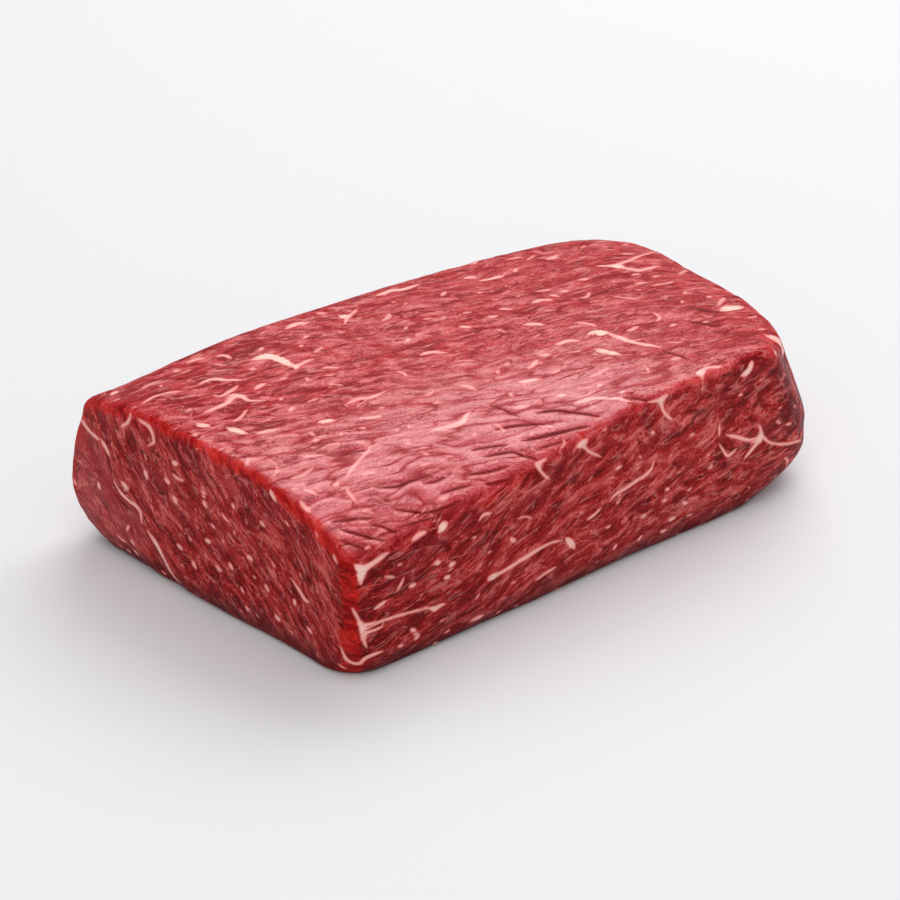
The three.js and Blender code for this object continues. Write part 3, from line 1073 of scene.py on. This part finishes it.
def lean_colour(shader, patterns):
    """The reds of the lean, with its dusky patches and its paler and darker parts: its small muscle, the
    painted sheen on the top's ridges and the painted shade on the top's far edge. The sides' reds are
    darker than the top's, partly as a painted shade.
    """
    dusky = shader.step(patterns.patches, 0.50, 0.62)
    sides = tint(shader, dusky, DUSKY_SHARE, shader.ramp(patterns.tone, SIDE_REDS), DUSKY_RED)
    sides = tint(shader, shader.attribute("small_muscle"), SMALL_MUSCLE_SHARE, sides, SMALL_MUSCLE_RED)
    lean = shader.mix(shader.attribute("topward"), sides, shader.ramp(patterns.tone, TOP_REDS))
    lean = tint(shader, shader.attribute("painted_sheen"), RIDGE_SHEEN_SHARE, lean, RIDGE_SHEEN_PINK)
    return tint(shader, shader.attribute("far_edge_shade"), FAR_EDGE_SHADE_SHARE, lean, FAR_EDGE_SHADE_RED)


def add_threads(shader, patterns, lean):
    """The pale threads between the strands, and the hairlines of the sides."""
    threads = valleys(shader, patterns.threads, 0.06)
    threads = shader.math("MULTIPLY", threads, shader.step(patterns.breaks, 0.45, 0.56))
    share = shader.math("MULTIPLY_ADD", shader.attribute("streaky"), 0.04, shader.by_face(*THREAD_SHARE))
    lean = tint(shader, threads, share, lean, THREAD_PINK)
    hairs = valleys(shader, patterns.hairs, 0.06)
    hairs = shader.math("MULTIPLY", hairs, shader.step(patterns.strands, 0.50, 0.60))
    return tint(shader, hairs, shader.by_face(*HAIR_SHARE), lean, HAIR_PINK)


def add_rim_glow_and_foot_shadow(shader, patterns, lean):
    """The ragged red rims, a painted glow of light shining through the thin edges, and the painted shadow
    at the foot of the sides.
    """
    topward = shader.attribute("topward")
    strands = shader.math("MULTIPLY", patterns.strands, 0.9)
    ragged = shader.math("ADD", strands, shader.math("MULTIPLY", patterns.breaks, 1.1))
    rim_glow = shader.math("SUBTRACT", shader.attribute("rim_glow"), shader.step(ragged, 0.7, 1.3, 0.44, 0.04))
    dark = shader.mix(topward, SIDE_RIM_GLOW_DARK, TOP_RIM_GLOW_DARK)
    bright = shader.mix(topward, SIDE_RIM_GLOW_BRIGHT, TOP_RIM_GLOW_BRIGHT)
    rim_glow_red = shader.mix(shader.step(patterns.tone, 0.30, 0.70), dark, bright)
    lean = shader.mix(shader.step(rim_glow, 0.0, 0.45, 0.0, 0.92), lean, rim_glow_red)
    return tint(shader, shader.attribute("low"), FOOT_SHADOW_SHARE, lean, FOOT_SHADOW_RED)


def add_fold_and_crease_shade(shader, patterns, lean):
    """The painted shade in the folds between the bundles of fibres, which is broken up away from the
    ripples, and in the creases."""
    rippled = shader.attribute("rippled")
    width = shader.step(patterns.gathers, 0.40, 0.66, 0.015, 0.09)
    folds = valleys(shader, patterns.bundles, shader.math("MULTIPLY_ADD", rippled, 0.02, width))
    whole = shader.math("MAXIMUM", shader.step(patterns.breaks, 0.46, 0.56), shader.step(rippled, 0.2, 0.6))
    folds = shader.math("MULTIPLY", folds, whole)
    folds = shader.math("MULTIPLY", folds, shader.step(rippled, 0.0, 1.0, 1.0, 0.7))
    fold_shade_red = shader.mix(shader.attribute("topward"), SIDE_FOLD_SHADE_RED, TOP_FOLD_SHADE_RED)
    lean = tint(shader, folds, FOLD_SHADE_SHARE, lean, fold_shade_red)
    return shader.mix(patterns.crease, lean, CREASE_SHADE_RED)


def add_fat(shader, patterns, lean):
    """The fat, whose wide strokes are whiter than its thin ones, and all of them redder at their edges."""
    width = shader.math("MULTIPLY", shader.attribute("fat_width"), shader.by_face(*FAT_NARROWING))
    thin = shader.mix(shader.attribute("topward"), SIDE_THIN_FAT, TOP_THIN_FAT)
    core = shader.mix(shader.step(width, 0.6, 1.4), thin, FAT_CORE)
    fat = shader.mix(shader.step(patterns.fat_depth, -0.3, 0.6), FAT_EDGE, core)
    return tint(shader, patterns.fat, FAT_SHARE, lean, fat)


def wetness(shader, patterns):
    """The wet sheen of the top, which is strongest on the ripples and leaves out folds, creases and dark
    strands."""
    wet = shader.math("MULTIPLY_ADD", shader.attribute("rippled"), 0.45, 0.30)
    wet = shader.math("MULTIPLY", shader.attribute("topward"), wet)
    open_part = shader.math("SUBTRACT", 1.0, valleys(shader, patterns.bundles, 0.12))
    wet = shader.math("MULTIPLY", wet, open_part)
    wet = shader.math("MULTIPLY", wet, shader.step(patterns.crease_depth, -0.9, 0.0, 1.0, 0.0))
    return shader.math("MULTIPLY", wet, shader.step(patterns.tone, 0.36, 0.50, 0.1, 1.0))


def beef_material():
    shader = Shader("raw_beef")
    patterns = fibre_patterns(shader)
    base = lean_colour(shader, patterns)
    for layer in (add_threads, add_rim_glow_and_foot_shadow, add_fold_and_crease_shade, add_fat):
        base = layer(shader, patterns, base)
    shader.set_surface("Base Color", base)
    shader.set_surface("Roughness", shader.step(patterns.gathers, 0.35, 0.65, 0.36, 0.50))
    shader.set_surface("IOR", 1.40)
    shader.set_surface("Specular IOR Level", 0.1)
    shader.set_surface("Coat Weight", wetness(shader, patterns))
    shader.set_surface("Coat Roughness", 0.24)
    height = shader.math("MULTIPLY_ADD", patterns.grains, -0.7, patterns.tone)
    height = shader.math("MULTIPLY_ADD", patterns.fat, 0.10, height)
    bump = shader.add("Bump", {"Strength": 1.0, "Distance": 1.0 * MM, "Height": height})
    shader.set_surface("Normal", bump.outputs[0])
    return shader.material


def floor_material():
    shader = Shader("pale_floor")
    shader.set_surface("Base Color", colour(234, 234, 236))
    shader.set_surface("Roughness", 0.7)
    shader.set_surface("Specular IOR Level", 0.2)
    return shader.material


# The surroundings: half the floor's side, in metres, and the light that comes from all round
FLOOR_HALF = 30.0
ROOM_COLOUR = (0.97, 0.98, 1.0, 1.0)
ROOM_LIGHT = 0.34

# The softboxes: the place, the width and height in metres, and the power in watts
SOFTBOXES = {
    "window": ((AWAY * 0.72 + RIGHT * 0.2 + UP * 0.80) * 2.4, (2.4, 1.8), 43),
    "overhead": ((UP - AWAY * 0.3) * 2.5, (2.2, 2.2), 22),
    "fill": ((RIGHT * -0.18 - AWAY * 0.85 + UP * 0.5) * 2.6, (2.0, 2.0), 13),
    "side": ((UP * 0.35 + AWAY * 0.1 + RIGHT) * 2.4, (1.6, 1.6), 8),
}


def add_floor():
    mesh = bpy.data.meshes.new("floor")
    corners = [(x * FLOOR_HALF, y * FLOOR_HALF, 0) for x, y in ((-1, -1), (1, -1), (1, 1), (-1, 1))]
    mesh.from_pydata(corners, [], [(0, 1, 2, 3)])
    mesh.materials.append(floor_material())
    floor = bpy.data.objects.new("floor", mesh)
    bpy.context.scene.collection.objects.link(floor)


def add_softbox(name, place, size, power):
    """A rectangular light that points at the middle of the floor."""
    data = bpy.data.lights.new(name, "AREA")
    data.shape = "RECTANGLE"
    data.size, data.size_y = size
    data.energy = power
    light = bpy.data.objects.new(name, data)
    bpy.context.scene.collection.objects.link(light)
    light.location = place
    light.rotation_euler = (-place).to_track_quat("-Z", "Y").to_euler()


def add_light():
    world = bpy.data.worlds.new("soft_room")
    bpy.context.scene.world = world
    world.use_nodes = True
    background = world.node_tree.nodes["Background"]
    background.inputs["Color"].default_value = ROOM_COLOUR
    background.inputs["Strength"].default_value = ROOM_LIGHT
    for name, (place, size, power) in SOFTBOXES.items():
        add_softbox(name, place, size, power)
    bpy.context.scene.view_settings.view_transform = "Standard"


add_camera()
add_floor()
add_light()
make_beef()
